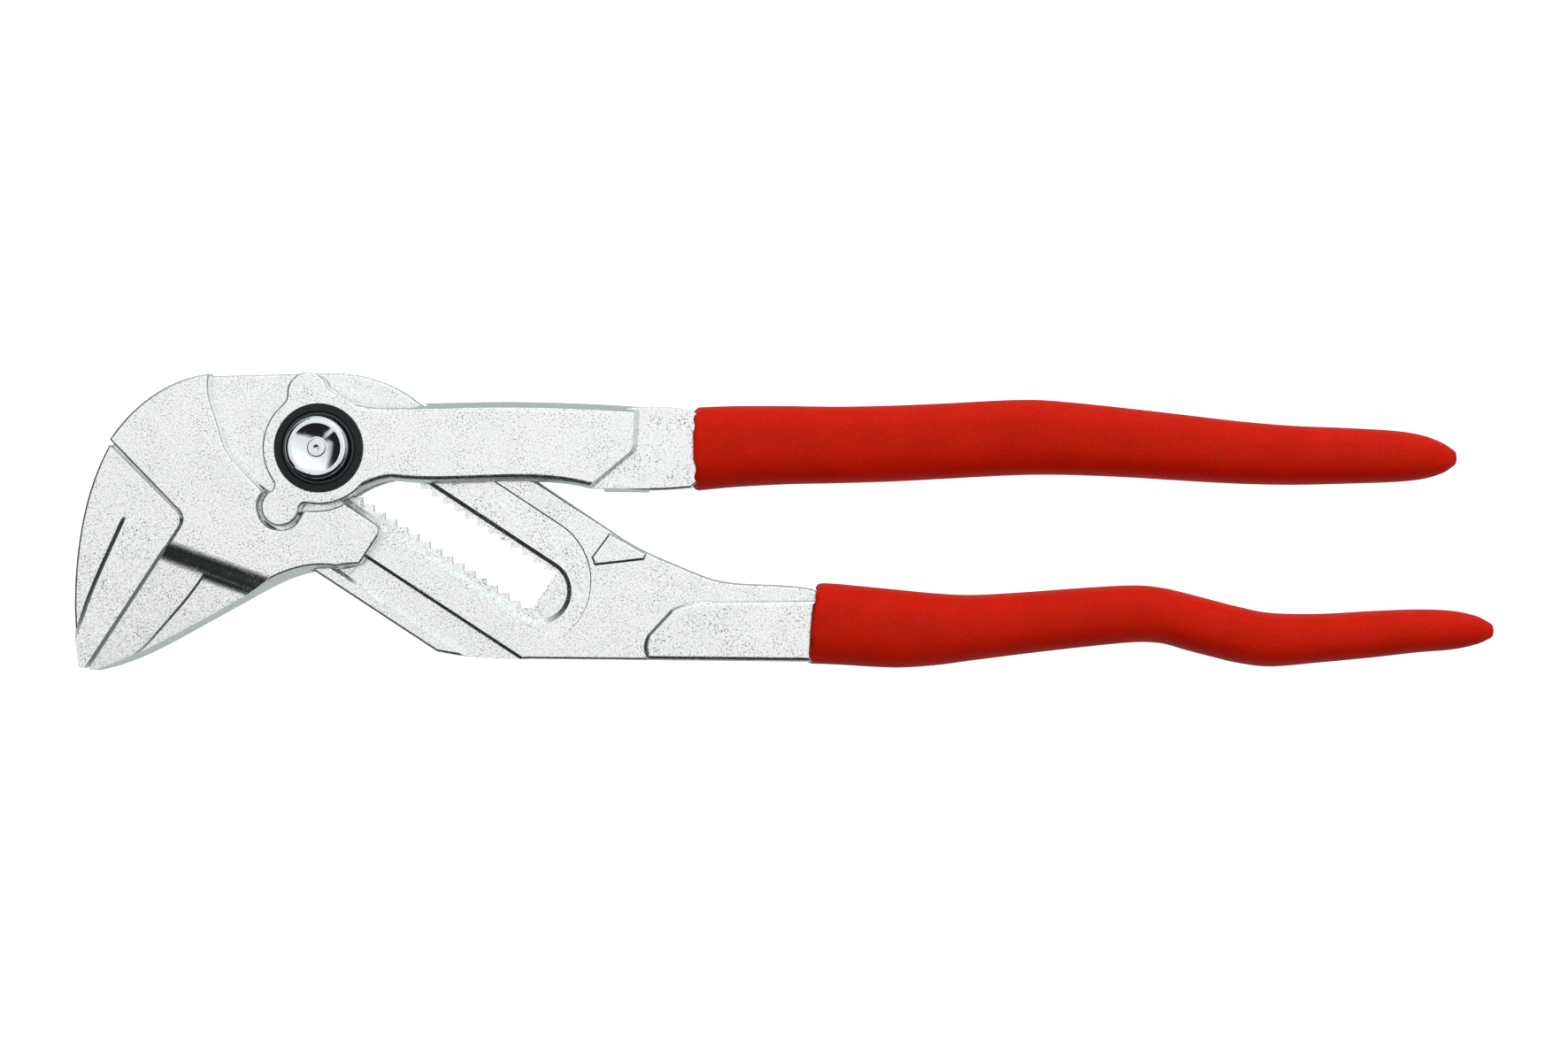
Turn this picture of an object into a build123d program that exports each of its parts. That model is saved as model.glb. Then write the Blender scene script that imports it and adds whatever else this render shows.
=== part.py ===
from build123d import *
import os
from math import cos, radians, sin, tan

# Pliers wrench, lying flat on its rear faces. X runs along the tool to the handle ends,
# +Y is the side of the moving lever, +Z is the side of the push button. Millimetres.

# ---- driving dimensions -------------------------------------------------------------
ORIGIN_SHIFT = (-0.83, -0.06)    # brings the middle of the whole tool to X = Y = 0

PIVOT_X = -82.0                 # pivot of the lever at the closed end of the slot
PIVOT_Y = 13.1
SLOT_TILT = -33.3               # direction of the adjusting slot, degrees from +X

CHEEK = 4.1                     # thickness of a cheek of the lever or of the sliding jaw
PLAY = 0.1                      # room between a cheek and the arm
ARM = 6.0                       # thickness of the slotted arm
HEAD = 2 * CHEEK + 2 * PLAY + ARM
MID = HEAD / 2
ARM_LOW = CHEEK + PLAY
ARM_TOP = ARM_LOW + ARM

PITCH = 2.4                     # of the slot's teeth
TOOTH_TIP = 3.45                # from the slot's middle line
TOOTH_DEPTH = PITCH / (tan(radians(-SLOT_TILT)) + 1 / tan(radians(-SLOT_TILT)))
TOOTH_PLAY = 0.2
TOOTH_LAYER = 2.0               # thickness of the toothed web in the middle of the arm
SLOT_HALF = 5.05                # half the width of the plain counter-slots
SLOT_START = -1.6               # centre of the counter-slot's round upper end
SLOT_END = 46.0                 # centre of its round lower end
TEETH_END = 46.7

LAND_HALF = 11.8                # milled land around the slot
LAND_DEPTH = 0.25               # at its upper side, running out to nothing at LAND_FADE
LAND_FADE = -7.8
LAND_START = 14.0               # centre of its round upper end
LAND_END = 42.8

GROOVE_NEAR = -12.0             # guide groove for the sliding jaw's ribs
GROOVE_FAR = -16.4
GROOVE_DEPTH = 1.2
RIB_PLAY = 0.2                  # beside a rib in its groove
RIB_LENGTH = 28.4
RIB_MIDDLE = 2.2
EDGE_BREAK = 0.35               # its edges, and the slot's, are broken this deep
EDGE_LEAN = 60                  # and lean this much, in degrees
TOOTH_ROUND = 0.25              # of the teeth's tips and roots
GROOVE_START = -14.0            # where it starts, along the slot direction
GROOVE_LENGTH = 64.0
PAD_HEIGHT = 1.0                # raised pads on the arm
SHOULDER_HEIGHT = 0.6
ARM_EDGE = -19.0                # lower edge of the arm

JAW_PLANE = -13.35              # gripping face of the fixed jaw, along the slot direction
JAW_GAP = 0.45                  # mouth with the lever closed
JAW_TIP = -55.3
FIXED_FLANK = 1.25              # outer part of the fixed jaw, below the head's face
FIXED_BLADE = 0.5               # its gripping blade, below the head's face
BLADE_SLANT = 1.0               # width of the slant down from the blade to the flank
MOVING_BLADE = 1.9              # gripping blade of the sliding jaw, below the head's face
MOVING_FLANK = 2.4              # outer part of that blade
RAMP_LENGTH = 4.4               # of the smooth ramp down to the sliding jaw's blade
FLANK_START = 0.9               # the ramp of the outer part starts this much further down
FLANK_LEAN = 0.8                # slope of the ridge beside the blade
BLADE_FALL = 1.1                # of the blade's face, over the ramp space's length
THROAT_DRAFT = 1.3              # how far the throat's wall slants, from the middle plane to the face
STEP_CORNER = 2.2               # rounding of the corner where the step line meets the jaw's face

LOBE_ARM = 12.5                 # from the pivot to the lever's driving lobe
LOBE_RADIUS = 3.35
LOBE_BLEND = 1.2                # rounding between the lobe and the hub
UPPER_LOBE = (-84.0, 22.9)      # centre of the lever's upper lobe
UPPER_LOBE_RADIUS = 3.6
NECK_BLEND = 2.5                # rounding between that lobe and the hub
SOCKET_HALF = 3.9
HUB_RADIUS = 10.0
FORK_RELIEF = 0.8               # the lever's fork is wider than its hub faces by this
ARM_DRAFT = 1.15                # how far the walls of the lever's arm slant
STEP_SLANT = 1.1                # and the step down to its tang

FORGED_EDGE = 0.8               # rounding of the lever arm's edges
CHEEK_EDGE = 0.4                # rounding of the cheeks' and tang's edges
BODY_EDGE = 0.5                 # rounding of the slotted body's edges
PAD_SHOULDER = 0.1              # upright wall left below a pad's rounded edge

BUTTON_RADIUS = 5.6
BUTTON_PROUD = 3.2
BUTTON_RIM = 0.9                # rounding of the button's rim
DISH_RADIUS = 12.0              # of the sphere that forms the button's dish
DISH_DEPTH = 0.8
BUSH_FLANGE = 7.8
BUSH_SHANK = 6.4
BUSH_NOSE = 4.95
FLANGE_SEAT = 1.95              # depth of the flange in the lever
BUSH_PROUD = 0.5                # the front bush above the lever's face
FIT = 0.1                       # radial room in the bores
RUN_FIT = 0.15                  # radial room round the button and the latch pin
PIN_NECK = 3.2
PIN_STEM = 1.95                 # of the latch pin inside the button
PIN_END = 1.65
RIVET_LOW = 0.45                # the riveted end below the button's rim
RIVET_HEAD = 0.35
PIN_CAVITY = 2.7                # radius of the spring's seat under the latch pin
CAVITY_DEPTH = 0.95
RING_RADIAL = 0.4               # depth of the snap rings in the bush
RING_LOW = ARM_TOP + 0.15
RING_TOP = ARM_TOP + 0.75
SEAL_RADIUS = 6.5
SEAL_SEAT = 0.9                 # depth of the seal's seat below the lever's face
CAP_RADIUS = 5.0
CAP_TOP = 1.2
REAR_INSET = 0.1                # of the rear cap and bush below the lever's rear face
SPRING_RADIUS = 2.1
SPRING_WIRE = 0.3
SPRING_TURNS = 4

GRIP_THICK = 13.0
TANG_THICK = 8.6

TOOTH_LOW = MID - TOOTH_LAYER / 2
TOOTH_TOP = MID + TOOTH_LAYER / 2


# ---- helpers ------------------------------------------------------------------------
def along(s, t):
    """Point s along the slot from the pivot and t across it."""
    ux, uy = unit_along()
    vx, vy = unit_across()
    return (PIVOT_X + s * ux + t * vx, PIVOT_Y + s * uy + t * vy)


def unit_along():
    a = radians(SLOT_TILT)
    return (cos(a), sin(a))


def unit_across():
    a = radians(SLOT_TILT)
    return (-sin(a), cos(a))


def outline(*spans):
    """Closed face from spans that join end to end: two points are a line, more are a spline."""
    edges = []
    for span in spans:
        edges.append(Line(*span) if len(span) == 2 else Spline(*span))
    return make_face(edges)


def plate(face, low, top):
    return extrude(Pos(0, 0, low) * face, amount=top - low, dir=(0, 0, 1))


def tapering(low_face, low, top_face, top):
    """Forged form between two outlines that have the same spans."""
    return loft([Pos(0, 0, low) * low_face, Pos(0, 0, top) * top_face], ruled=True)


def flared(face, low, top, lean=45):
    """Cutting block whose walls lean outwards by lean degrees as it rises."""
    return extrude(Pos(0, 0, low) * face, amount=top - low, dir=(0, 0, 1), taper=-lean)


def round_corner(face, corner, radius):
    return fillet(face.vertices().sort_by_distance(corner)[0], radius)


def soften(solid, radius):
    """Rounds the rim of the solid's upper face."""
    return fillet(solid.faces().sort_by(Axis.Z)[-1].outer_wire().edges(), radius)


def both_sides(solid):
    """The solid and its mirror image about the tool's middle plane."""
    return solid + mirror(solid, about=Plane.XY.offset(MID))


def at_pivot(shape):
    return Pos(PIVOT_X, PIVOT_Y, 0) * shape


def in_slot(shape):
    return Location((PIVOT_X, PIVOT_Y, 0), (0, 0, SLOT_TILT)) * shape


def disc(radius, low, top):
    return at_pivot(plate(Circle(radius), low, top))


def ring(outer, inner, low, top):
    return disc(outer, low, top) - disc(inner, low - 1, top + 1)


def stadium(start, end, half):
    """Round-ended slot along the slot direction, between two end centres."""
    middle = Pos((start + end) / 2, 0) * Rectangle(end - start, 2 * half)
    return middle + Pos(start, 0) * Circle(half) + Pos(end, 0) * Circle(half)


def above(point, slope_dir, slope):
    """Large block whose lower face passes through point and falls along slope_dir."""
    length = (slope_dir[0] ** 2 + slope_dir[1] ** 2) ** 0.5
    ux, uy = slope_dir[0] / length, slope_dir[1] / length
    plane = Plane(origin=point, x_dir=(ux, uy, -slope), z_dir=(slope * ux, slope * uy, 1))
    return plane * Pos(0, 0, 20) * Box(120, 120, 40)


# ---- toothed slot -------------------------------------------------------------------
def tooth_row(start, end):
    """Lower row of teeth: a steep flank towards the handle, a long one back to the next tip."""
    steep = TOOTH_DEPTH * tan(radians(-SLOT_TILT))
    points = []
    tip = start
    while tip < end - 0.01:
        points += [(tip, -TOOTH_TIP), (tip + steep, -TOOTH_TIP - TOOTH_DEPTH)]
        tip += PITCH
    return points + [(tip, -TOOTH_TIP)]


def toothed_area(start, end, play=0.0):
    """Area between the two rows, which are point-symmetric about the pivot."""
    phase = 0.36 * PITCH
    row = tooth_row(phase - 8 * PITCH, phase + 24 * PITCH)
    lower = [(s, t + play) for s, t in row]
    upper = [(-s, -t) for s, t in lower]
    rows = Polygon(*lower, *[(24 * PITCH, 0), (-8 * PITCH, 0)], align=None)
    rows += Polygon(*upper, *[(-24 * PITCH, 0), (8 * PITCH, 0)], align=None)
    long_row = [(s + 24 * PITCH, t) for s, t in upper]
    rows += Polygon(*long_row, *[(0, 0), (32 * PITCH, 0)], align=None)
    window = Pos((start + end) / 2, 0) * Rectangle(end - start, 20)
    return rows & window


# ---- slotted body -------------------------------------------------------------------
HEAD_CORNER = (-119.2, 13.7)
BODY_TIP = (-124.4, -25.6)


def jaw_back():
    """Outer edge of the fixed jaw, from the tip up to the head."""
    return [BODY_TIP, (-125.3, -16.5), (-124.6, -3.6), (-122.2, 6.9), HEAD_CORNER]


def middle_outline():
    """Fixed jaw, slotted arm and lower tang in one outline, seen from the button side."""
    return outline(
        jaw_back(),
        [HEAD_CORNER, (-115.4, 18.3), (-109.0, 23.2), (-101.6, 26.0)],
        [(-101.6, 26.0), (-81.0, 26.5)],
        [(-81.0, 26.5), (-76.0, 26.2), (-70.5, 24.6), (-65.4, 21.5)],
        [(-65.4, 21.5), (-31.0, -1.4)],
        [(-31.0, -1.4), (-24.3, -5.4), (-18.5, -7.9), (-12.2, -10.3), (-4.4, -11.1), (5.0, -11.9)],
        [(5.0, -11.9), (9.0, -13.7)],
        [(9.0, -13.7), (33.0, -15.2), (62.0, -13.8), (85.0, -18.3), (113.0, -17.9)],
        [(113.0, -17.9), (115.5, -19.7), (113.0, -21.3)],
        [(113.0, -21.3), (85.0, -23.4), (62.0, -19.4), (27.0, -23.6), (9.0, -23.2)],
        [(9.0, -23.2), (4.5, -24.8)],
        [(4.5, -24.8), (-45.0, -24.3)],
        [(-45.0, -24.3), (-57.0, -23.8), along(36.8, ARM_EDGE)],
        [along(36.8, ARM_EDGE), along(JAW_PLANE, ARM_EDGE)],
        [along(JAW_PLANE, ARM_EDGE), along(JAW_PLANE, JAW_TIP)],
        [along(JAW_PLANE, JAW_TIP), BODY_TIP],
    )


def fixed_jaw_outline():
    """The part of the fixed jaw that is thicker than the arm."""
    corner = along(JAW_PLANE, -23.6)
    face = outline(
        jaw_back(),
        [HEAD_CORNER, corner],
        [corner, along(JAW_PLANE, JAW_TIP)],
        [along(JAW_PLANE, JAW_TIP), BODY_TIP],
    )
    return round_corner(face, corner, STEP_CORNER)


def fixed_blade_outline(lean):
    """Raised gripping blade of the fixed jaw, its outer side moved towards the gripping face by lean."""
    outer = [(-117.3, 0.4), (-119.4, -4.2), (-121.3, -8.4), (-124.4, -16.5)]
    outer = [(x + 0.92 * lean, y - 0.39 * lean) for x, y in outer]
    root = (-115.7 + 0.2 * lean, 0.7 - 0.4 * lean)
    apex = (-116.4 + 0.5 * lean, 1.1 - 0.5 * lean)
    return outline(
        [along(JAW_PLANE, -29.6 - 0.2 * lean), root],
        [root, apex, outer[0]],
        outer,
        [outer[-1], (-127.0, -26.0)],
        [(-127.0, -26.0), (-120.0, -30.0)],
        [(-120.0, -30.0), along(JAW_PLANE, JAW_TIP)],
        [along(JAW_PLANE, JAW_TIP), along(JAW_PLANE, -29.6 - 0.2 * lean)],
    )


def make_fixed_jaw():
    """Flank and gripping blade of the fixed jaw, above the tool's middle plane."""
    flank = plate(fixed_jaw_outline(), MID, HEAD - FIXED_FLANK)
    rim = flank.faces().sort_by(Axis.Z)[-1].outer_wire().edges().sort_by(Axis.X)
    flank = fillet(rim[0], CHEEK_EDGE)
    low, top = HEAD - FIXED_FLANK - 0.1, HEAD - FIXED_BLADE
    blade = tapering(fixed_blade_outline(0.0), low, fixed_blade_outline(BLADE_SLANT), top)
    return flank + (blade & plate(fixed_jaw_outline(), MID, HEAD))


def handle_pad():
    """Raised long pad on the lower tang, ahead of the grip."""
    return outline(
        [(6.0, -13.8), (-12.0, -13.9)],
        [(-12.0, -13.9), (-17.3, -14.3), (-20.0, -15.4)],
        [(-20.0, -15.4), (-24.2, -19.9)],
        [(-24.2, -19.9), (-24.9, -22.2), (-24.2, -24.5)],
        [(-24.2, -24.5), (5.0, -24.8)],
        [(5.0, -24.8), (6.0, -13.8)],
    )


def shoulder_pad():
    """Small raised triangle beside the end of the slot."""
    return outline(
        [(-31.0, -1.9), (-34.2, -6.2)],
        [(-34.2, -6.2), (-33.6, -7.7)],
        [(-33.6, -7.7), (-24.8, -6.7)],
        [(-24.8, -6.7), (-24.3, -5.7)],
        [(-24.3, -5.7), (-31.0, -1.9)],
    )


def guide_groove():
    """Groove for the sliding jaw's ribs, with broken edges."""
    floor, top = ARM_TOP - GROOVE_DEPTH, ARM_TOP + 1
    wide = (1 + EDGE_BREAK) * tan(radians(EDGE_LEAN))
    profile = Polyline(
        (GROOVE_FAR, floor), (GROOVE_NEAR, floor), (GROOVE_NEAR, ARM_TOP - EDGE_BREAK),
        (GROOVE_NEAR + wide, top), (GROOVE_FAR - wide, top), (GROOVE_FAR, ARM_TOP - EDGE_BREAK), close=True,
    )
    across = Plane(origin=(*along(GROOVE_START, 0), 0), x_dir=(*unit_across(), 0), z_dir=(*unit_along(), 0))
    return extrude(across * make_face(profile), amount=GROOVE_LENGTH)


def make_slotted_body():
    half = soften(plate(middle_outline(), MID, ARM_TOP), BODY_EDGE)
    half += make_fixed_jaw()
    half += soften(plate(handle_pad(), MID, ARM_TOP + PAD_HEIGHT), PAD_HEIGHT - PAD_SHOULDER)
    half += soften(plate(shoulder_pad(), MID, ARM_TOP + SHOULDER_HEIGHT), SHOULDER_HEIGHT - PAD_SHOULDER)
    body = both_sides(half)
    land = flared(in_slot(stadium(LAND_START, LAND_END, LAND_HALF)), ARM_TOP - LAND_DEPTH, ARM_TOP + 0.1)
    land &= above((*along(LAND_END, LAND_FADE), ARM_TOP), unit_across(), LAND_DEPTH / (LAND_HALF - LAND_FADE))
    counter = in_slot(stadium(SLOT_START, SLOT_END, SLOT_HALF))
    slot = plate(counter, TOOTH_TOP, ARM_TOP + 1)
    slot += flared(counter, ARM_TOP - LAND_DEPTH - EDGE_BREAK, ARM_TOP + 0.1, EDGE_LEAN)
    toothed = toothed_area(-4.9, TEETH_END)
    tips = [v for v in toothed.vertices() if abs(v.Y) > TOOTH_TIP - 0.01 and -4 < v.X < TEETH_END - 1]
    toothed = in_slot(fillet(tips, TOOTH_ROUND))
    teeth = plate(toothed, MID, TOOTH_TOP + 1)
    body -= both_sides(land)
    body -= both_sides(slot + guide_groove())
    return body - both_sides(teeth)


# ---- sliding jaw --------------------------------------------------------------------
def moving_face():
    return JAW_PLANE + JAW_GAP


MOVING_TIP = (-121.9, -26.4)
RAMP_TOP = (-101.0, -5.6, 0)    # a point on the ramp's upper edge


def throat_edge(inset):
    """Lower edge of the sliding jaw, from its tip to the corner of the cheek."""
    tip = (MOVING_TIP[0] + 0.1 * inset, MOVING_TIP[1] + 0.3 * inset)
    edge = [(-115.5, -24.5), (-104.9, -19.2), (-94.6, -13.5), (-86.2, -9.5), (-78.6, -8.9)]
    return [tip] + [(x - 0.3 * inset, y + 0.9 * inset) for x, y in edge]


def arm_space():
    """Room for the arm between the cheeks, and for the fixed jaw's root."""
    over_arm = Pos(0, ARM_EDGE - 0.2 + 40) * Rectangle(200, 80)
    beside_jaw = Pos(moving_face() - 40, 0) * Rectangle(80, 160)
    return plate(in_slot(over_arm + beside_jaw), CHEEK, HEAD - CHEEK)


def jaw_cheek_outline(inset=0.0):
    """Cheek that lies on the arm, with the socket for the lever's lobe in its upper edge."""
    left = -SOCKET_HALF
    throat = throat_edge(inset)
    socket = [along(SOCKET_HALF, -12.7), along(2.8, -15.4), along(0, -16.6), along(-2.8, -15.4)]
    corner = along(moving_face(), -23.2)
    face = outline(
        [corner, along(moving_face(), JAW_TIP)],
        [along(moving_face(), JAW_TIP), throat[0]],
        throat,
        [throat[-1], (-75.9 - 0.5 * inset, -8.3 + 0.7 * inset), along(17.2, -13.2)],
        [along(17.2, -13.2), along(17.2, -7.2)],
        [along(17.2, -7.2), along(16.7, -6.2), along(15.6, -5.8)],
        [along(15.6, -5.8), along(9.1, -5.8)],
        [along(9.1, -5.8), along(7.4, -8.1), along(5.6, -9.6), along(SOCKET_HALF, -10.7)],
        [along(SOCKET_HALF, -10.7), along(SOCKET_HALF, -12.7)],
        socket + [along(left, -12.7)],
        [along(left, -12.7), along(left, -11.9)],
        [along(left, -11.9), (-95.6, 9.2), (-98.6, 13.2), (-99.9, 17.5), (-101.2, 21.5), (-101.3, 26.2)],
        [(-101.3, 26.2), (-109.2, 23.7), (-116.3, 18.0), (-118.9, 14.6)],
        [(-118.9, 14.6), corner],
    )
    return round_corner(face, corner, STEP_CORNER)


def ramp_space(start, drop):
    """Space above the sliding jaw's blade, with the smooth ramp that leads down to it."""
    end = start + RAMP_LENGTH
    low = HEAD - drop
    far = (60.0, low - BLADE_FALL)
    profile = [
        Spline((start, HEAD), ((start + end) / 2, (HEAD + low) / 2), (end, low), tangents=[(1, 0), (1, 0)]),
        Line((end, low), far),
        Line(far, (far[0], HEAD + 5)),
        Line((far[0], HEAD + 5), (start, HEAD + 5)),
        Line((start, HEAD + 5), (start, HEAD)),
    ]
    downhill = Plane(origin=RAMP_TOP, x_dir=(-0.34, -0.94, 0), z_dir=(-0.94, 0.34, 0))
    return extrude(downhill * make_face(profile), amount=far[0], both=True)


def outer_flank(lean):
    """Outer part of the sliding jaw's blade, beyond the ridge."""
    ridge = [(-119.5, -25.8), (-116.9, -25.0), (-109.9, -19.0), (-104.2, -12.5), (-102.7, -10.5)]
    ridge = [(x - 0.75 * lean, y + 0.66 * lean) for x, y in ridge]
    return outline(
        ridge,
        [ridge[-1], (-99.5, -4.5)],
        [(-99.5, -4.5), (-80.0, -10.0)],
        [(-80.0, -10.0), (-90.0, -35.0)],
        [(-90.0, -35.0), ridge[0]],
    )


def make_sliding_jaw():
    half = tapering(jaw_cheek_outline(), MID, jaw_cheek_outline(THROAT_DRAFT), HEAD)
    half = soften(half, CHEEK_EDGE)
    half -= ramp_space(0.0, MOVING_BLADE)
    low = HEAD - MOVING_FLANK - 0.5
    flank = tapering(outer_flank(0.0), low, outer_flank(FLANK_LEAN * (HEAD - low)), HEAD)
    half -= ramp_space(FLANK_START, MOVING_FLANK) & flank
    jaw = both_sides(half) - arm_space()
    rib_area = Rectangle(RIB_LENGTH, GROOVE_NEAR - GROOVE_FAR - 2 * RIB_PLAY)
    rib_area = Pos(RIB_MIDDLE, (GROOVE_NEAR + GROOVE_FAR) / 2) * rib_area
    rib = plate(in_slot(rib_area), ARM_TOP - GROOVE_DEPTH + PLAY, ARM_TOP + PLAY)
    return jaw + rib + mirror(rib, about=Plane.XY.offset(MID))


# ---- lever --------------------------------------------------------------------------
def lever_hub():
    """Hub with its two lobes."""
    upper_lobe = Pos(*UPPER_LOBE) * Circle(UPPER_LOBE_RADIUS)
    lower_lobe = in_slot(Pos(0, -LOBE_ARM) * Circle(LOBE_RADIUS))
    face = at_pivot(Circle(HUB_RADIUS)) + upper_lobe + lower_lobe
    for side in (-1, 1):
        face = round_corner(face, along(side * LOBE_RADIUS, 1 - HUB_RADIUS), LOBE_BLEND)
        face = round_corner(face, (UPPER_LOBE[0] + side * UPPER_LOBE_RADIUS, UPPER_LOBE[1] - 1), NECK_BLEND)
    return face


def lever_arm(inset):
    """Straight arm from the hub to the tang."""
    upper, lower = 21.2 - inset, 6.8 + inset
    crest = [(-82.8, upper + 4.6), (-80.4, upper + 3.3), (-77.6, upper + 1.5), (-74.4, upper + 0.4)]
    crest += [(-69.0, upper), (-52.0, upper + 0.3), (-33.8, upper - 0.1), (-24.0, upper - 0.7)]
    return outline(
        crest,
        [(-24.0, upper - 0.7), (-24.0, lower - 1.5)],
        [(-24.0, lower - 1.5), (-34.6, lower - 1.4)],
        [(-34.6, lower - 1.4), (-38.0, lower - 0.7), (-52.0, lower - 0.2), (-69.5, lower)],
        [(-69.5, lower), (-72.8, lower - 0.9), (-75.9 - 0.4 * inset, lower - 2.7)],
        [(-75.9 - 0.4 * inset, lower - 2.7), (-82.8, 10.0)],
        [(-82.8, 10.0), crest[0]],
    )


def fork_opening():
    """Room between the cheeks that the arm passes through, up to the solid web."""
    return outline(
        [(-110.0, 60.0), along(-10.0, 16.6)],
        [along(-10.0, 16.6), along(26.0, 16.6)],
        [along(26.0, 16.6), (-39.5, 8.4)],
        [(-39.5, 8.4), (-32.0, 6.2)],
        [(-32.0, 6.2), (-32.0, -30.0)],
        [(-32.0, -30.0), (-110.0, -30.0)],
        [(-110.0, -30.0), (-110.0, 60.0)],
    )


def upper_tang_outline():
    return outline(
        [(-38.0, 18.8), (-28.0, 20.3), (-20.0, 20.4), (-16.6, 20.0)],
        [(-16.6, 20.0), (-14.8, 18.9)],
        [(-14.8, 18.9), (16.0, 18.4), (42.0, 19.2), (64.0, 17.6), (84.0, 14.9), (106.0, 14.0)],
        [(106.0, 14.0), (109.0, 11.7), (106.0, 9.4)],
        [(106.0, 9.4), (84.0, 9.1), (64.0, 10.0), (42.0, 10.7), (16.0, 9.2), (-14.8, 7.5)],
        [(-14.8, 7.5), (-16.6, 6.1)],
        [(-16.6, 6.1), (-20.0, 5.8), (-28.0, 5.9), (-38.0, 8.8)],
        [(-38.0, 8.8), (-38.0, 18.8)],
    )


def step_area(lean):
    """Where the lever's arm is as thin as the tang, moved towards the pivot by lean."""
    corner = (-25.9 - lean, 12.8)
    face = outline(
        [(-37.0 - lean, 3.6), corner],
        [corner, (-25.3 - lean, 24.0)],
        [(-25.3 - lean, 24.0), (0.0, 24.0)],
        [(0.0, 24.0), (0.0, 0.0)],
        [(0.0, 0.0), (-37.0 - lean, 3.6)],
    )
    return round_corner(face, corner, 2.0)


def make_lever():
    half = tapering(lever_arm(0.0), MID, lever_arm(ARM_DRAFT), HEAD)
    half = soften(half, FORGED_EDGE) + soften(plate(lever_hub(), MID, HEAD), CHEEK_EDGE)
    head = both_sides(half)
    relief = fork_opening() - at_pivot(Circle(HUB_RADIUS - 0.4))
    lever = head - plate(fork_opening(), CHEEK, HEAD - CHEEK)
    lever -= plate(relief, CHEEK + PLAY - FORK_RELIEF, HEAD - CHEEK - PLAY + FORK_RELIEF)
    tang_top = MID + TANG_THICK / 2
    lever -= both_sides(tapering(step_area(0.0), tang_top, step_area(STEP_SLANT), HEAD + 1))
    lever += both_sides(soften(plate(upper_tang_outline(), MID, tang_top), CHEEK_EDGE))
    bores = disc(BUSH_SHANK + FIT, ARM_TOP, HEAD + 1)
    bores += disc(BUSH_FLANGE + FIT, HEAD - 2.0, HEAD + 1)
    bores += disc(BUSH_SHANK + 1.0, ARM_TOP, ARM_TOP + PLAY + 0.7)
    return lever - both_sides(bores)


# ---- dipped grips -------------------------------------------------------------------
def section(x, top, bottom, thick):
    """Rounded cross-section of a grip at x, between its upper and lower edge."""
    height = top - bottom
    plane = Plane(origin=(x, (top + bottom) / 2, MID), x_dir=(0, 1, 0), z_dir=(1, 0, 0))
    return plane * RectangleRounded(height, thick, 0.42 * min(height, thick))


def grip_form(stations):
    return loft([section(*station) for station in stations])


def make_upper_grip(tang):
    form = grip_form([
        (-15.4, 20.9, 5.5, GRIP_THICK), (8.0, 20.8, 6.5, GRIP_THICK), (28.0, 21.2, 7.4, GRIP_THICK),
        (45.0, 21.9, 8.3, GRIP_THICK), (66.0, 20.0, 7.5, GRIP_THICK), (86.0, 17.4, 6.3, 12.6),
        (104.0, 16.8, 6.7, 11.6), (114.0, 15.7, 7.3, 9.6), (118.6, 13.2, 9.0, 5.4), (120.3, 12.0, 10.6, 1.8),
    ])
    return form - tang


def make_lower_grip(tang):
    form = grip_form([
        (5.4, -11.0, -25.5, GRIP_THICK), (20.0, -11.8, -26.1, GRIP_THICK), (33.0, -13.0, -25.2, GRIP_THICK),
        (48.0, -12.1, -23.2, GRIP_THICK), (64.0, -11.2, -21.9, GRIP_THICK), (77.0, -14.1, -24.6, 12.8),
        (88.0, -16.4, -26.0, 12.6), (104.0, -15.8, -24.5, 11.8), (118.0, -15.6, -23.1, 10.0),
        (125.0, -17.4, -21.3, 5.2), (127.0, -18.8, -20.2, 1.8),
    ])
    return form - tang


# ---- pivot, latch and button --------------------------------------------------------
BLOCK_LOW = TOOTH_LOW + 0.05    # the latch pin's toothed block, inside the toothed web
BLOCK_TOP = TOOTH_TOP - 0.05
BUTTON_LOW = HEAD - 0.2
BUTTON_TOP = HEAD + BUTTON_PROUD


def make_front_guide_bush():
    """Turns in the lever's front cheek, and its nose slides in the counter-slot."""
    well = HEAD - 2.5
    bush = disc(BUSH_NOSE, TOOTH_TOP + PLAY, ARM_TOP + PLAY)
    bush += disc(BUSH_SHANK, ARM_TOP + PLAY / 2, HEAD - FLANGE_SEAT)
    bush += disc(BUSH_FLANGE, HEAD - FLANGE_SEAT, HEAD + BUSH_PROUD)
    bush -= disc(PIN_NECK + RUN_FIT, 0, HEAD + 5)
    bush -= disc(BUTTON_RADIUS + RUN_FIT, well, HEAD + 5)
    bush -= disc(SEAL_RADIUS + 0.05, HEAD - SEAL_SEAT, HEAD + 5)
    return bush - snap_groove()


def make_rear_guide_bush():
    bush = disc(BUSH_SHANK, FLANGE_SEAT - 0.05, CHEEK - 0.05)
    bush += disc(BUSH_FLANGE, REAR_INSET, FLANGE_SEAT)
    bush -= disc(PIN_NECK, CAP_TOP, CHEEK + 1)
    bush -= disc(CAP_RADIUS, 0, CAP_TOP)
    return bush - mirror(snap_groove(), about=Plane.XY.offset(MID))


def snap_groove():
    return ring(BUSH_SHANK + 0.5, BUSH_SHANK - RING_RADIAL, RING_LOW, RING_TOP)


def make_front_snap_ring():
    """Open ring that keeps the bush in the lever's bore."""
    clip = ring(BUSH_SHANK + 0.8, BUSH_SHANK - RING_RADIAL, RING_LOW, RING_TOP)
    return clip - at_pivot(Pos(BUSH_SHANK, 0, MID) * Box(4, 2.4, HEAD))


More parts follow.
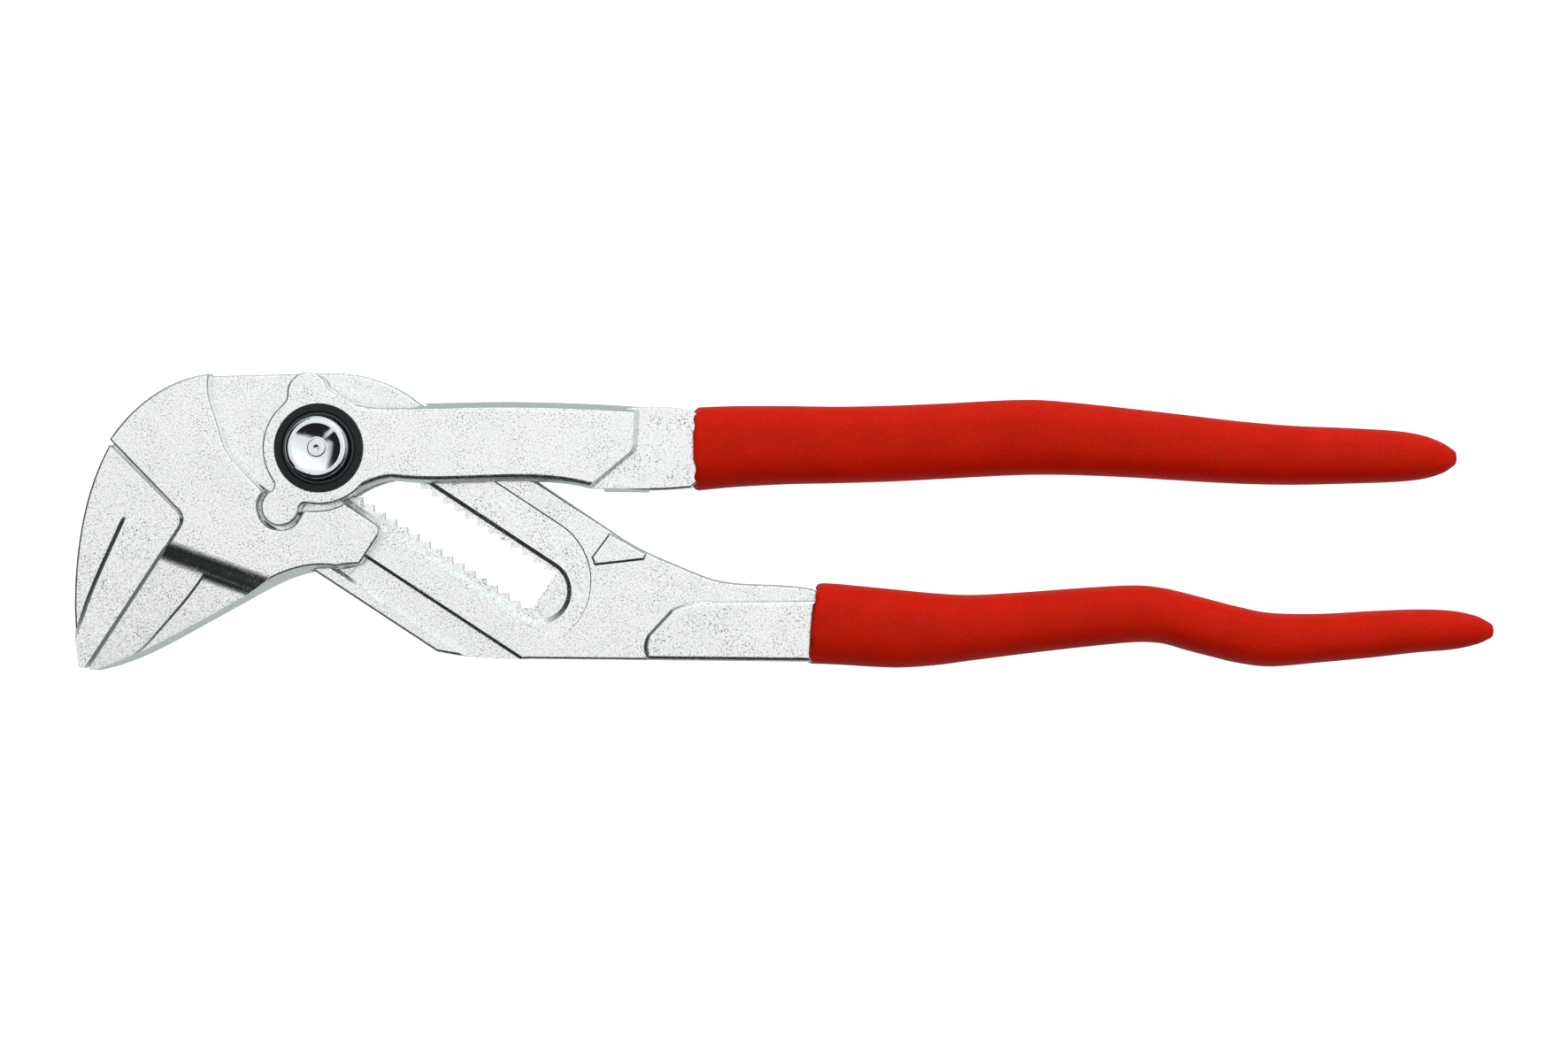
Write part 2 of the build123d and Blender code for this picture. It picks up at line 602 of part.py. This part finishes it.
def make_rear_snap_ring():
    return mirror(make_front_snap_ring(), about=Plane.XY.offset(MID))


def make_rear_cap():
    """Steel disc that closes the rear bush behind the spring."""
    return disc(CAP_RADIUS, REAR_INSET, CAP_TOP) - disc(1.4, 0, 0.5)


def make_button_seal():
    """Dust ring between the button and the bush."""
    seal = ring(SEAL_RADIUS, BUTTON_RADIUS + 0.1, HEAD - SEAL_SEAT, HEAD + 0.25)
    return chamfer(seal.faces().sort_by(Axis.Z)[-1].edges(), 0.25)


def make_push_button():
    """Chrome cap with a dished face and a rounded rim."""
    button = disc(BUTTON_RADIUS, BUTTON_LOW, BUTTON_TOP)
    button = soften(button, BUTTON_RIM)
    dish = at_pivot(Pos(0, 0, BUTTON_TOP + DISH_RADIUS - DISH_DEPTH) * Sphere(DISH_RADIUS))
    return button - dish - disc(PIN_STEM, 0, BUTTON_TOP + 1)


def make_button_rivet():
    """Riveted end of the latch pin in the middle of the button, with its centre mark."""
    top = BUTTON_TOP - RIVET_LOW
    head = soften(disc(PIN_END, top - RIVET_HEAD, top), 0.25)
    rivet = disc(PIN_STEM, HEAD + 1.0, top - RIVET_HEAD) + head
    return rivet - at_pivot(Pos(0, 0, top - 0.2) * Cone(0, 0.6, 0.5))


def make_latch_pin():
    """Stepped pin whose toothed block locks in the slot and drops clear of it when pressed."""
    block = plate(in_slot(toothed_area(-3.5, 3.5, TOOTH_PLAY)), BLOCK_LOW, BLOCK_TOP)
    pin = block + disc(PIN_NECK, BLOCK_LOW, BUTTON_LOW)
    pin += disc(PIN_STEM, BUTTON_LOW, HEAD + 1.0)
    return pin - disc(PIN_CAVITY, BLOCK_LOW - 1, BLOCK_LOW + CAVITY_DEPTH)


def make_button_spring():
    """Compression spring between the rear cap and the latch pin."""
    height = BLOCK_LOW + CAVITY_DEPTH - CAP_TOP - 2 * SPRING_WIRE
    coil = Helix(pitch=height / SPRING_TURNS, height=height, radius=SPRING_RADIUS)
    start = Plane(origin=coil @ 0, z_dir=coil % 0)
    return at_pivot(Pos(0, 0, CAP_TOP + SPRING_WIRE) * sweep(start * Circle(SPRING_WIRE), path=coil))


def main():
    body = make_slotted_body()
    lever = make_lever()
    parts = {
        "slotted_body": body,
        "sliding_jaw": make_sliding_jaw(),
        "lever": lever,
        "upper_grip": make_upper_grip(lever),
        "lower_grip": make_lower_grip(body),
        "front_guide_bush": make_front_guide_bush(),
        "rear_guide_bush": make_rear_guide_bush(),
        "front_snap_ring": make_front_snap_ring(),
        "rear_snap_ring": make_rear_snap_ring(),
        "rear_cap": make_rear_cap(),
        "button_seal": make_button_seal(),
        "push_button": make_push_button(),
        "button_rivet": make_button_rivet(),
        "latch_pin": make_latch_pin(),
        "button_spring": make_button_spring(),
    }
    os.makedirs("parts", exist_ok=True)
    for name, part in parts.items():
        export_step(Pos(*ORIGIN_SHIFT, 0) * part, f"parts/{name}.step")


main()
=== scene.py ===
import bpy
import bmesh
import math
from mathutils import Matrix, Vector


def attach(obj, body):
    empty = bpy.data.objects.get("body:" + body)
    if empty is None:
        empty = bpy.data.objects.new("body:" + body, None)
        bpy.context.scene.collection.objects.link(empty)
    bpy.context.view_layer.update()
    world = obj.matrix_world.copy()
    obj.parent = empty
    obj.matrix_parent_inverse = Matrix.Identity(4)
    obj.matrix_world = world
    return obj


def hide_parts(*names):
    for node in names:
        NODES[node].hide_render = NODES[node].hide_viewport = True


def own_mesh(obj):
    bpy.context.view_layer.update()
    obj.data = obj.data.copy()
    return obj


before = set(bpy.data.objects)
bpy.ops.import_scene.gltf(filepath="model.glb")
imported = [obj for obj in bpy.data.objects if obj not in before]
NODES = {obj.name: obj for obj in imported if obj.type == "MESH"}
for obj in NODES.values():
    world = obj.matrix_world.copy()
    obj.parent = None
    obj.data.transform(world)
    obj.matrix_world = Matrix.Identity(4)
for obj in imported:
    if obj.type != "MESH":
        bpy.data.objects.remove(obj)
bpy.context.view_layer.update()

MM = 0.001
PIVOT = (-82.83 * MM, 13.04 * MM)     # axis of the button and the bushes
MID = 7.2 * MM                        # middle plane of the tool


def smooth_range(tree, value, low, high, to_low, to_high):
    """Node that maps value smoothly from low..high to to_low..to_high."""
    node = tree.nodes.new("ShaderNodeMapRange")
    node.interpolation_type = "SMOOTHSTEP"
    node.inputs["From Min"].default_value = low
    node.inputs["From Max"].default_value = high
    node.inputs["To Min"].default_value = to_low
    node.inputs["To Max"].default_value = to_high
    tree.links.new(value, node.inputs["Value"])
    return node.outputs["Result"]


# ---- camera and light ---------------------------------------------------------------
CAMERA_PLACE = (-0.0008, -0.0001)     # the camera looks straight down from above this point
CAMERA_HEIGHT = 0.550                 # above the middle plane
VIEW_WIDTH = 0.280                    # shown across the picture at that plane
SENSOR = 36.0                         # millimetres

# Each softbox is its name, place, target, width and height in metres, and radiance.
SOFTBOXES = [
    ("overhead_softbox", (0.05, 0.22, 1.2), (0, 0, 0), (1.8, 1.25), 1.02),
    ("rear_softbox", (0.3, 1.2, 0.5), (0, 0, 0), (1.8, 0.7), 1.0),
    ("left_strip", (-0.72, -0.46, 1.0), (-0.083, 0.013, 0), (0.13, 0.50), 0.9),
]

ROOM_COLOR = (0.80, 0.95, 0.95)
ROOM_BRIGHT_SIDE = (0.5, 0.87, 0.0)   # direction of the room's bright side
ROOM_TURN = (-0.05, 0.65)             # share of that direction at which it is dark and bright
ROOM_GLOW = (0.02, 0.60)              # its strength at those two

FLOOR_SIZE = 8.0
TABLE_GLOW = 0.95                     # brightness of the light table to the camera
CARD_COLOR = (0.80, 0.92, 0.90)       # its colour in what the steel reflects
CARD_REACH = (0.12, 0.42)             # distances from the middle between which that fades
CARD_GLOW = (0.60, 0.02)              # its brightness at those two


def make_camera():
    data = bpy.data.cameras.new("camera")
    data.sensor_width = SENSOR
    data.lens = SENSOR * CAMERA_HEIGHT / VIEW_WIDTH
    camera = bpy.data.objects.new("camera", data)
    camera.location = (*CAMERA_PLACE, MID + CAMERA_HEIGHT)
    bpy.context.scene.collection.objects.link(camera)
    bpy.context.scene.camera = camera


def softbox(name, place, target, size, radiance):
    """Area light whose surface has the same brightness all over, whatever its size."""
    data = bpy.data.lights.new(name, "AREA")
    data.shape = "RECTANGLE"
    data.size, data.size_y = size
    data.energy = radiance * math.pi * size[0] * size[1]
    lamp = bpy.data.objects.new(name, data)
    lamp.location = place
    direction = Vector(target) - Vector(place)
    lamp.rotation_euler = direction.to_track_quat("-Z", "Y").to_euler()
    bpy.context.scene.collection.objects.link(lamp)


def make_world():
    """Dim room, brighter on the tool's upper right side than on its lower left one."""
    world = bpy.data.worlds.new("studio")
    world.use_nodes = True
    tree = world.node_tree
    background = tree.nodes["Background"]
    place = tree.nodes.new("ShaderNodeTexCoord")
    toward = tree.nodes.new("ShaderNodeVectorMath")
    toward.operation = "DOT_PRODUCT"
    toward.inputs[1].default_value = ROOM_BRIGHT_SIDE
    tree.links.new(place.outputs["Generated"], toward.inputs[0])
    strength = smooth_range(tree, toward.outputs["Value"], *ROOM_TURN, *ROOM_GLOW)
    tree.links.new(strength, background.inputs["Strength"])
    background.inputs["Color"].default_value = (*ROOM_COLOR, 1)
    bpy.context.scene.world = world


def make_lights():
    for name, place, target, size, radiance in SOFTBOXES:
        softbox(name, place, target, size, radiance)
    make_world()
    bpy.context.scene.view_settings.view_transform = "Standard"


def make_floor():
    """White light table: glowing for the camera, and in reflections a card that fades outwards."""
    bpy.ops.mesh.primitive_plane_add(size=FLOOR_SIZE, location=(0, 0, 0))
    floor = bpy.context.object
    floor.name = "floor"
    material = bpy.data.materials.new("white_floor")
    material.use_nodes = True
    tree = material.node_tree
    shader = tree.nodes["Principled BSDF"]
    shader.inputs["Base Color"].default_value = (0.80, 0.80, 0.80, 1)
    shader.inputs["Roughness"].default_value = 0.9
    shader.inputs["Emission Color"].default_value = (1, 1, 1, 1)
    shader.inputs["Emission Strength"].default_value = TABLE_GLOW
    card = tree.nodes.new("ShaderNodeEmission")
    card.inputs["Color"].default_value = (*CARD_COLOR, 1)
    place = tree.nodes.new("ShaderNodeTexCoord")
    distance = tree.nodes.new("ShaderNodeVectorMath")
    distance.operation = "LENGTH"
    tree.links.new(place.outputs["Object"], distance.inputs[0])
    glow = smooth_range(tree, distance.outputs["Value"], *CARD_REACH, *CARD_GLOW)
    tree.links.new(glow, card.inputs["Strength"])
    path = tree.nodes.new("ShaderNodeLightPath")
    mix = tree.nodes.new("ShaderNodeMixShader")
    tree.links.new(path.outputs["Is Camera Ray"], mix.inputs[0])
    tree.links.new(card.outputs[0], mix.inputs[1])
    tree.links.new(shader.outputs[0], mix.inputs[2])
    tree.links.new(mix.outputs[0], tree.nodes["Material Output"].inputs["Surface"])
    floor.data.materials.append(material)


# ---- materials ----------------------------------------------------------------------
class Finish:
    """A Principled material with short ways to add procedural detail to it."""

    def __init__(self, name, color, metallic, roughness):
        self.material = bpy.data.materials.new(name)
        self.material.use_nodes = True
        self.tree = self.material.node_tree
        self.shader = self.tree.nodes["Principled BSDF"]
        self.color = (*color, 1)
        self.shader.inputs["Base Color"].default_value = self.color
        self.shader.inputs["Metallic"].default_value = metallic
        self.shader.inputs["Roughness"].default_value = roughness
        self.place = self.tree.nodes.new("ShaderNodeTexCoord").outputs["Object"]

    def link(self, output, target):
        self.tree.links.new(output, target)

    def noise(self, feature_mm, detail=3.0, rough=0.55, stretch=None):
        """Noise whose features are about feature_mm across."""
        node = self.tree.nodes.new("ShaderNodeTexNoise")
        node.inputs["Scale"].default_value = 1.0 / (feature_mm * MM)
        node.inputs["Detail"].default_value = detail
        node.inputs["Roughness"].default_value = rough
        place = self.place
        if stretch:
            mapping = self.tree.nodes.new("ShaderNodeMapping")
            mapping.inputs["Scale"].default_value = stretch
            self.link(self.place, mapping.inputs["Vector"])
            place = mapping.outputs[0]
        self.link(place, node.inputs["Vector"])
        return node.outputs["Fac"]

    def spread(self, value, low, high, to_low=0.0, to_high=1.0):
        """Value mapped smoothly from low..high to to_low..to_high."""
        return smooth_range(self.tree, value, low, high, to_low, to_high)

    def combine(self, operation, first, second):
        node = self.tree.nodes.new("ShaderNodeMath")
        node.operation = operation
        for socket, value in zip(node.inputs, (first, second)):
            if isinstance(value, (int, float)):
                socket.default_value = value
            else:
                self.link(value, socket)
        return node.outputs[0]

    def tint(self, amount, color, over=None):
        """Mixes color in by amount, over the base colour or an earlier mix."""
        node = self.tree.nodes.new("ShaderNodeMix")
        node.data_type = "RGBA"
        sockets = {socket.identifier: socket for socket in [*node.inputs, *node.outputs]}
        factor, first, second = sockets["Factor_Float"], sockets["A_Color"], sockets["B_Color"]
        result = sockets["Result_Color"]
        self.link(amount, factor)
        if over is None:
            first.default_value = self.color
        else:
            self.link(over, first)
        second.default_value = (*color, 1)
        self.link(result, self.shader.inputs["Base Color"])
        return result

    def relief(self, height, depth_mm, strength=1.0, under=None):
        node = self.tree.nodes.new("ShaderNodeBump")
        node.inputs["Strength"].default_value = strength
        node.inputs["Distance"].default_value = depth_mm * MM
        self.link(height, node.inputs["Height"])
        if under is not None:
            self.link(under, node.inputs["Normal"])
        self.link(node.outputs[0], self.shader.inputs["Normal"])
        return node.outputs[0]

    def turned(self, pitch_mm):
        """Fine rings about the pivot, as a lathe leaves them."""
        shift = self.tree.nodes.new("ShaderNodeVectorMath")
        shift.operation = "SUBTRACT"
        shift.inputs[1].default_value = (PIVOT[0], PIVOT[1], 0)
        flat = self.tree.nodes.new("ShaderNodeVectorMath")
        flat.operation = "MULTIPLY"
        flat.inputs[1].default_value = (1, 1, 0)
        length = self.tree.nodes.new("ShaderNodeVectorMath")
        length.operation = "LENGTH"
        self.link(self.place, shift.inputs[0])
        self.link(shift.outputs[0], flat.inputs[0])
        self.link(flat.outputs[0], length.inputs[0])
        wave = self.combine("MULTIPLY", length.outputs["Value"], 2 * math.pi / (pitch_mm * MM))
        return self.combine("SINE", wave, 0.0)


def forged_steel():
    """Bright zinc over a drop-forged, blasted surface: fine grain, dimples and scattered pits."""
    finish = Finish("forged_steel", (0.92, 0.92, 0.92), 1.0, 0.24)
    grain = finish.noise(0.32, 4.0, 0.7)
    dimples = finish.noise(1.5, 2.0, 0.5)
    clouds = finish.noise(11.0, 3.0, 0.5)
    pits = finish.spread(finish.noise(0.30, 3.0, 0.6), 0.585, 0.65)
    patches = finish.spread(finish.noise(5.0, 3.0, 0.5), 0.40, 0.68, 0.30, 0.85)
    specks = finish.combine("MULTIPLY", pits, patches)
    shade = finish.tint(finish.spread(clouds, 0.35, 0.75, 0.0, 0.3), (0.84, 0.85, 0.86))
    shade = finish.tint(finish.spread(grain, 0.44, 0.72, 0.0, 0.62), (0.50, 0.51, 0.52), shade)
    finish.tint(finish.combine("MULTIPLY", specks, 0.95), (0.06, 0.065, 0.07), shade)
    finish.link(finish.spread(grain, 0.3, 0.75, 0.18, 0.30), finish.shader.inputs["Roughness"])
    soft = finish.relief(dimples, 0.05, 0.5)
    fine = finish.relief(grain, 0.032, 0.8, soft)
    finish.relief(finish.combine("SUBTRACT", 1.0, specks), 0.035, 0.7, fine)
    return finish.material


def red_grip():
    """Dipped red plastic: matte, with a fine raised grain, and a few bright orange specks painted into its
    colour as glints.
    """
    finish = Finish("red_grip", (0.98, 0.016, 0.001), 0.0, 0.5)
    grain = finish.noise(0.30, 3.0, 0.65)
    swell = finish.noise(7.0, 2.0, 0.5)
    shade = finish.tint(finish.spread(swell, 0.3, 0.7, 0.0, 0.5), (0.80, 0.012, 0.002))
    shade = finish.tint(finish.spread(grain, 0.44, 0.70, 0.0, 0.9), (0.52, 0.006, 0.001), shade)
    # painted highlight: sparse bright orange specks in the base colour stand in for glints off the grain
    painted_glint_specks = finish.spread(finish.noise(0.30, 1.0, 0.5), 0.60, 0.72)
    finish.tint(finish.combine("MULTIPLY", painted_glint_specks, 0.45), (1.0, 0.09, 0.03), shade)
    finish.link(finish.spread(grain, 0.3, 0.7, 0.42, 0.62), finish.shader.inputs["Roughness"])
    soft = finish.relief(swell, 0.25, 0.3)
    finish.relief(grain, 0.045, 0.9, soft)
    finish.shader.inputs["Specular IOR Level"].default_value = 0.07
    return finish.material


def black_bush():
    """Black oxide over turned steel."""
    finish = Finish("black_bush", (0.016, 0.019, 0.020), 0.7, 0.34)
    rings = finish.turned(0.16)
    wear = finish.noise(0.5, 3.0, 0.6)
    shade = finish.tint(finish.spread(wear, 0.62, 0.8, 0.0, 0.35), (0.10, 0.105, 0.11))
    finish.tint(finish.spread(rings, 0.6, 1.0, 0.0, 0.25), (0.05, 0.055, 0.06), shade)
    finish.link(finish.spread(wear, 0.3, 0.7, 0.28, 0.48), finish.shader.inputs["Roughness"])
    finish.relief(rings, 0.006, 0.6)
    return finish.material


def seal_rubber():
    finish = Finish("seal_rubber", (0.030, 0.036, 0.038), 0.0, 0.35)
    bloom = finish.noise(0.7, 3.0, 0.6)
    finish.tint(finish.spread(bloom, 0.5, 0.8, 0.0, 0.5), (0.05, 0.052, 0.055))
    finish.relief(finish.noise(0.12, 2.0, 0.5), 0.01, 0.5)
    return finish.material


def button_chrome():
    """Polished chrome over a turned cap: faint rings that draw reflections out along the radius."""
    finish = Finish("button_chrome", (0.72, 0.75, 0.78), 1.0, 0.08)
    rings = finish.turned(0.14)
    haze = finish.noise(1.2, 3.0, 0.6)
    finish.tint(finish.spread(haze, 0.45, 0.75, 0.0, 0.3), (0.58, 0.65, 0.69))
    finish.link(finish.spread(haze, 0.3, 0.7, 0.05, 0.12), finish.shader.inputs["Roughness"])
    finish.relief(rings, 0.0012, 0.6)
    return finish.material


def pin_steel():
    finish = Finish("pin_steel", (0.62, 0.64, 0.66), 1.0, 0.25)
    rings = finish.turned(0.10)
    wear = finish.noise(0.6, 3.0, 0.6)
    finish.tint(finish.spread(wear, 0.5, 0.8, 0.0, 0.5), (0.34, 0.35, 0.36))
    finish.relief(rings, 0.004, 0.6)
    return finish.material


def spring_steel():
    finish = Finish("spring_steel", (0.34, 0.345, 0.36), 1.0, 0.32)
    draw = finish.noise(0.5, 2.0, 0.5, (1, 1, 4))
    finish.tint(finish.spread(draw, 0.45, 0.75, 0.0, 0.6), (0.18, 0.17, 0.16))
    finish.link(finish.spread(draw, 0.3, 0.7, 0.24, 0.42), finish.shader.inputs["Roughness"])
    return finish.material


# ---- closed tubes -------------------------------------------------------------------
def close_tube(name, mesh, rings, material):
    """Object from rings of vertices, with a face over each end."""
    for first, second in zip(rings, rings[1:]):
        for k in range(len(first)):
            after = (k + 1) % len(first)
            mesh.faces.new((first[k], first[after], second[after], second[k]))
    mesh.faces.new(list(reversed(rings[0])))
    mesh.faces.new(rings[-1])
    bmesh.ops.recalc_face_normals(mesh, faces=mesh.faces)
    for face in mesh.faces:
        face.smooth = True
    data = bpy.data.meshes.new(name)
    mesh.to_mesh(data)
    mesh.free()
    tube = bpy.data.objects.new(name, data)
    bpy.context.scene.collection.objects.link(tube)
    data.materials.append(material)
    return tube


# ---- dipped grips -------------------------------------------------------------------
# Each station is x, upper edge, lower edge and thickness of the grip, in millimetres.
UPPER_GRIP = [
    (-16.7, 20.5, 5.6, 12.7), (-9.7, 20.7, 6.2, 13.0), (-0.2, 20.7, 6.7, 13.0),
    (9.2, 20.6, 6.9, 13.0), (18.7, 20.8, 7.2, 13.0), (28.2, 21.2, 7.7, 13.0),
    (37.7, 21.7, 8.2, 13.0), (44.5, 21.8, 8.4, 13.0), (52.0, 21.2, 8.3, 13.0),
    (61.4, 20.2, 7.9, 13.0), (70.9, 19.1, 7.3, 12.9), (80.3, 18.0, 6.8, 12.8),
    (89.8, 17.2, 6.6, 12.5), (99.3, 16.8, 6.8, 12.0), (108.0, 16.3, 7.1, 11.2),
    (113.0, 15.5, 7.6, 9.6), (116.5, 14.2, 8.6, 7.2), (118.6, 12.9, 9.9, 4.0),
]
LOWER_GRIP = [
    (4.3, -10.9, -25.3, 12.6), (9.2, -11.1, -25.5, 13.0), (18.7, -12.0, -26.0, 13.0),
    (26.0, -12.7, -25.6, 13.0), (32.9, -13.0, -24.7, 13.0), (42.4, -12.5, -23.5, 13.0),
    (51.9, -11.8, -22.4, 13.0), (61.4, -11.3, -21.5, 13.0), (66.5, -11.7, -21.7, 12.9),
    (71.0, -12.7, -22.9, 12.8), (75.6, -13.9, -24.1, 12.8), (80.3, -15.1, -25.2, 12.7),
    (86.0, -16.2, -25.8, 12.6), (94.5, -16.4, -25.1, 12.3), (104.0, -15.9, -24.2, 11.8),
    (112.0, -15.6, -23.3, 10.9), (118.2, -15.8, -22.8, 9.4), (122.6, -16.7, -21.9, 7.0),
    (125.2, -18.0, -20.8, 3.6),
]
GRIP_STEPS = 150             # rings along a grip
GRIP_SIDES = 56              # points round it
GRIP_FULLNESS = 2.5          # exponent of its superellipse, 2 for an oval
LIP_ROLL = 0.8               # length of the rolled lip at the front, in millimetres
LIP_STEPS = 6                # steps from the lip's front to its full width
LIP_NARROW = 0.10            # how much narrower its front is, as a share
LIP_INNER = (0.7, 0.80)      # how far back the ring inside it is, and its share of the width
LIP_FADE = 10                # rings over which its roll, lean and waves fade out
LIP_WAVE = 0.16              # size of its waves, in millimetres
INNER_WAVE = 0.10            # and of those of the ring inside it
LIP_WAVES = ((1.0, 3, 0.8), (0.8, 7, 0.0), (0.6, 12, 2.0))   # each one's share, count and phase
LOWER_LEAN = 0.12            # how far the lower grip's lip leans, per millimetre of height
END_RINGS = ((0.35, 0.80), (0.55, 0.45))     # distance past the last station, and share of its size


def smooth_station(stations, at):
    """Catmull-Rom value of the stations at a place counted in stations."""
    k = min(int(at), len(stations) - 2)
    t = at - k
    a, b = stations[max(k - 1, 0)], stations[k]
    c, d = stations[k + 1], stations[min(k + 2, len(stations) - 1)]
    return [
        0.5 * (2 * q + (r - p) * t + (2 * p - 5 * q + 4 * r - s) * t * t + (3 * q - p - 3 * r + s) * t ** 3)
        for p, q, r, s in zip(a, b, c, d)
    ]


def superellipse(value):
    """Cosine or sine of the angle, pushed outwards so that the section is fuller than an oval."""
    return math.copysign(abs(value) ** (2 / GRIP_FULLNESS), value)


def grip_ring(mesh, x, top, bottom, thick, scale=1.0, lean=0.0, wave=0.0):
    """One closed ring of a grip."""
    ring = []
    middle = (top + bottom) / 2
    for k in range(GRIP_SIDES):
        angle = 2 * math.pi * k / GRIP_SIDES
        y = middle + scale * (top - bottom) / 2 * superellipse(math.cos(angle))
        z = scale * thick / 2 * superellipse(math.sin(angle))
        ripple = sum(share * math.sin(count * angle + phase) for share, count, phase in LIP_WAVES)
        shift = lean * (y - middle) + wave * ripple
        ring.append(mesh.verts.new(((x + shift) * MM, y * MM, MID + z * MM)))
    return ring


def make_grip(name, stations, lean):
    """Dipped sleeve with a rolled, slightly wavy lip at the front and a rounded end."""
    mesh = bmesh.new()
    x, top, bottom, thick = stations[0]
    back, narrow = LIP_INNER
    rings = [grip_ring(mesh, x + back, top, bottom, thick, narrow, lean, INNER_WAVE)]
    for k in range(LIP_STEPS + 1):
        turn = math.pi / 2 * k / LIP_STEPS
        roll = 1 - LIP_NARROW + LIP_NARROW * math.sin(turn)
        front = x + LIP_ROLL * (1 - math.cos(turn))
        rings.append(grip_ring(mesh, front, top, bottom, thick, roll, lean, LIP_WAVE))
    for k in range(1, GRIP_STEPS + 1):
        x, top, bottom, thick = smooth_station(stations, k * (len(stations) - 1) / GRIP_STEPS)
        fade = max(0.0, 1.0 - k / LIP_FADE)
        front = x + LIP_ROLL * fade
        rings.append(grip_ring(mesh, front, top, bottom, thick, 1.0, lean * fade, LIP_WAVE * fade))
    x, top, bottom, thick = stations[-1]
    for grow, scale in END_RINGS:
        rings.append(grip_ring(mesh, x + grow, top, bottom, thick, scale))
    return close_tube(name, mesh, rings, RED)


# ---- button spring ------------------------------------------------------------------
SPRING_LOW = 1.2             # bottom of the coil, in millimetres
SPRING_TOP = 7.2             # and its top
SPRING_RADIUS = 2.1          # from the coil's axis to the middle of the wire
SPRING_WIRE = 0.3            # radius of the wire
SPRING_TURNS = 4
SPRING_STEPS = 28            # rings in a turn
SPRING_SIDES = 10            # points round the wire


def make_spring():
    """Round-wire coil between the rear cap and the latch pin."""
    mesh = bmesh.new()
    steps = SPRING_STEPS * SPRING_TURNS
    height = SPRING_TOP - SPRING_LOW - 2 * SPRING_WIRE
    slope = math.atan2(height, 2 * math.pi * SPRING_RADIUS * SPRING_TURNS)
    rings = []
    for k in range(steps + 1):
        turn = 2 * math.pi * SPRING_TURNS * k / steps
        outward = Vector((math.cos(turn), math.sin(turn), 0))
        round_axis = Vector((-math.sin(turn), math.cos(turn), 0))
        along = math.cos(slope) * round_axis + Vector((0, 0, math.sin(slope)))
        across = outward.cross(along)
        centre = outward * SPRING_RADIUS + Vector((0, 0, SPRING_LOW + SPRING_WIRE + height * k / steps))
        ring = []
        for j in range(SPRING_SIDES):
            angle = 2 * math.pi * j / SPRING_SIDES
            point = centre + SPRING_WIRE * (math.cos(angle) * outward + math.sin(angle) * across)
            ring.append(mesh.verts.new((PIVOT[0] + point.x * MM, PIVOT[1] + point.y * MM, point.z * MM)))
        rings.append(ring)
    return close_tube("coil_spring", mesh, rings, LOOK["button_spring"])


# ---- the whole tool -----------------------------------------------------------------
STEEL = forged_steel()
RED = red_grip()
LOOK = {
    "slotted_body": STEEL, "lever": STEEL, "sliding_jaw": STEEL,
    "upper_grip": RED, "lower_grip": RED,
    "front_guide_bush": black_bush(), "button_seal": seal_rubber(),
    "push_button": button_chrome(), "latch_pin": pin_steel(), "button_spring": spring_steel(),
}
LOOK["rear_guide_bush"] = LOOK["front_guide_bush"]
LOOK["button_rivet"] = LOOK["push_button"]
LOOK["rear_cap"] = LOOK["latch_pin"]
LOOK["front_snap_ring"] = LOOK["rear_snap_ring"] = LOOK["button_spring"]
for name, obj in NODES.items():
    obj.data.materials.clear()
    obj.data.materials.append(LOOK[name])

make_camera()
make_lights()
make_floor()

upper = make_grip("upper_dipped_grip", UPPER_GRIP, 0.0)
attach(upper, "lever")
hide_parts("upper_grip")
lower = make_grip("lower_dipped_grip", LOWER_GRIP, LOWER_LEAN)
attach(lower, "body")
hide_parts("lower_grip")

spring = make_spring()
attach(spring, "pivot_carrier")
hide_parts("button_spring")
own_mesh(spring)
